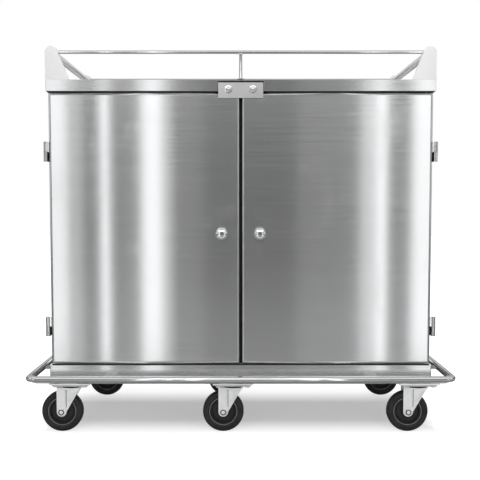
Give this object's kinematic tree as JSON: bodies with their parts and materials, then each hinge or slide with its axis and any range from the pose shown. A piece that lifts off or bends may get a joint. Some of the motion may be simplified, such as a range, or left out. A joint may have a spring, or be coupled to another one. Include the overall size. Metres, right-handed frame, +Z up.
{
  "type": "enclosed meal tray cart",
  "caption": "Stainless two-door cabinet cart for meal trays, with tray ledges in two bays, a lift-up latch, a tube bumper, a top guard rail and swivel casters.",
  "frame": {"origin": "on the floor, under the middle of the bumper's outline", "axes": "+X to the cart's right seen from the front, +Y from the doors to the back, +Z up"},
  "size_m": [1.303, 0.746, 1.177],
  "materials": {
    "brushed_stainless": "brushed along its length",
    "satin_plate": "satin",
    "polished_tube": "polished",
    "zinc_plate": "bright zinc plated",
    "chrome": "mirror bright",
    "magnet_block": "moulded",
    "rubber_tread": "moulded rubber",
    "wheel_core": "moulded"
  },
  "bodies": {
    "cabinet": {"base_frame": "brushed_stainless", "side_panel_left": "brushed_stainless", "side_panel_right": "brushed_stainless", "back_panel": "brushed_stainless", "top_panel": "brushed_stainless", "floor_pan": "brushed_stainless", "centre_partition": "brushed_stainless", "tray_ledges_left": "brushed_stainless", "tray_ledges_right": "brushed_stainless", "corner_ears_front": "satin_plate", "corner_ears_rear": "satin_plate", "latch_hinge_bracket": "satin_plate", "bumper_brackets": "satin_plate", "bumper_rail": "polished_tube", "side_rail_left": "polished_tube", "side_rail_right": "polished_tube", "guard_rod_front": "polished_tube", "guard_rod_rear": "polished_tube", "cross_channels": "zinc_plate", "caster_pads": "zinc_plate", "caster_top_plates": "zinc_plate", "caster_bolts": "zinc_plate", "hinge_frame_leaves": "zinc_plate", "hinge_pins": "zinc_plate", "magnetic_catches": "magnet_block"},
    "door_left": {"door_left_skin": "brushed_stainless", "door_left_liner": "brushed_stainless", "door_left_knob": "chrome", "door_left_hinge_leaves": "zinc_plate"},
    "door_right": {"door_right_skin": "brushed_stainless", "door_right_liner": "brushed_stainless", "door_right_knob": "chrome", "door_right_hinge_leaves": "zinc_plate"},
    "latch": {"latch_flap": "satin_plate", "latch_cap_nuts": "chrome"},
    "swivel_front_left": {"caster_fork_front_left": "zinc_plate", "caster_axle_front_left": "zinc_plate"},
    "wheel_front_left": {"caster_tyre_front_left": "rubber_tread", "caster_core_front_left": "wheel_core"},
    "swivel_front_middle": {"caster_fork_front_middle": "zinc_plate", "caster_axle_front_middle": "zinc_plate"},
    "wheel_front_middle": {"caster_tyre_front_middle": "rubber_tread", "caster_core_front_middle": "wheel_core"},
    "swivel_front_right": {"caster_fork_front_right": "zinc_plate", "caster_axle_front_right": "zinc_plate"},
    "wheel_front_right": {"caster_tyre_front_right": "rubber_tread", "caster_core_front_right": "wheel_core"},
    "swivel_rear_left": {"caster_fork_rear_left": "zinc_plate", "caster_axle_rear_left": "zinc_plate"},
    "wheel_rear_left": {"caster_tyre_rear_left": "rubber_tread", "caster_core_rear_left": "wheel_core"},
    "swivel_rear_middle": {"caster_fork_rear_middle": "zinc_plate", "caster_axle_rear_middle": "zinc_plate"},
    "wheel_rear_middle": {"caster_tyre_rear_middle": "rubber_tread", "caster_core_rear_middle": "wheel_core"},
    "swivel_rear_right": {"caster_fork_rear_right": "zinc_plate", "caster_axle_rear_right": "zinc_plate"},
    "wheel_rear_right": {"caster_tyre_rear_right": "rubber_tread", "caster_core_rear_right": "wheel_core"}
  },
  "joints": [
    {"name": "door_left_hinge", "type": "hinge", "parent": "cabinet", "child": "door_left", "pos_m": [-0.589, -0.301, 0.598], "axis": [0, 0, -1], "range_deg": [0, 260]},
    {"name": "door_right_hinge", "type": "hinge", "parent": "cabinet", "child": "door_right", "pos_m": [0.589, -0.301, 0.598], "axis": [0, 0, 1], "range_deg": [0, 260]},
    {"name": "latch_lift", "type": "hinge", "parent": "cabinet", "child": "latch", "pos_m": [0, -0.304, 1.0658], "axis": [-1, 0, 0], "range_deg": [0, 90]},
    {"name": "swivel_front_left", "type": "hinge", "parent": "cabinet", "child": "swivel_front_left", "pos_m": [-0.525, -0.26, 0.14], "axis": [0, 0, 1], "continuous": true},
    {"name": "roll_front_left", "type": "hinge", "parent": "swivel_front_left", "child": "wheel_front_left", "pos_m": [-0.555, -0.26, 0.0635], "axis": [0, 1, 0], "continuous": true},
    {"name": "swivel_front_middle", "type": "hinge", "parent": "cabinet", "child": "swivel_front_middle", "pos_m": [-0.024, -0.26, 0.14], "axis": [0, 0, 1], "continuous": true},
    {"name": "roll_front_middle", "type": "hinge", "parent": "swivel_front_middle", "child": "wheel_front_middle", "pos_m": [-0.054, -0.26, 0.0635], "axis": [0, 1, 0], "continuous": true},
    {"name": "swivel_front_right", "type": "hinge", "parent": "cabinet", "child": "swivel_front_right", "pos_m": [0.549, -0.26, 0.14], "axis": [0, 0, 1], "continuous": true},
    {"name": "roll_front_right", "type": "hinge", "parent": "swivel_front_right", "child": "wheel_front_right", "pos_m": [0.519, -0.26, 0.0635], "axis": [0, 1, 0], "continuous": true},
    {"name": "swivel_rear_left", "type": "hinge", "parent": "cabinet", "child": "swivel_rear_left", "pos_m": [-0.525, 0.26, 0.14], "axis": [0, 0, 1], "continuous": true},
    {"name": "roll_rear_left", "type": "hinge", "parent": "swivel_rear_left", "child": "wheel_rear_left", "pos_m": [-0.495, 0.26, 0.0635], "axis": [0, 1, 0], "continuous": true},
    {"name": "swivel_rear_middle", "type": "hinge", "parent": "cabinet", "child": "swivel_rear_middle", "pos_m": [-0.024, 0.26, 0.14], "axis": [0, 0, 1], "continuous": true},
    {"name": "roll_rear_middle", "type": "hinge", "parent": "swivel_rear_middle", "child": "wheel_rear_middle", "pos_m": [-0.054, 0.26, 0.0635], "axis": [0, 1, 0], "continuous": true},
    {"name": "swivel_rear_right", "type": "hinge", "parent": "cabinet", "child": "swivel_rear_right", "pos_m": [0.549, 0.26, 0.14], "axis": [0, 0, 1], "continuous": true},
    {"name": "roll_rear_right", "type": "hinge", "parent": "swivel_rear_right", "child": "wheel_rear_right", "pos_m": [0.519, 0.26, 0.0635], "axis": [0, 1, 0], "continuous": true}
  ]
}
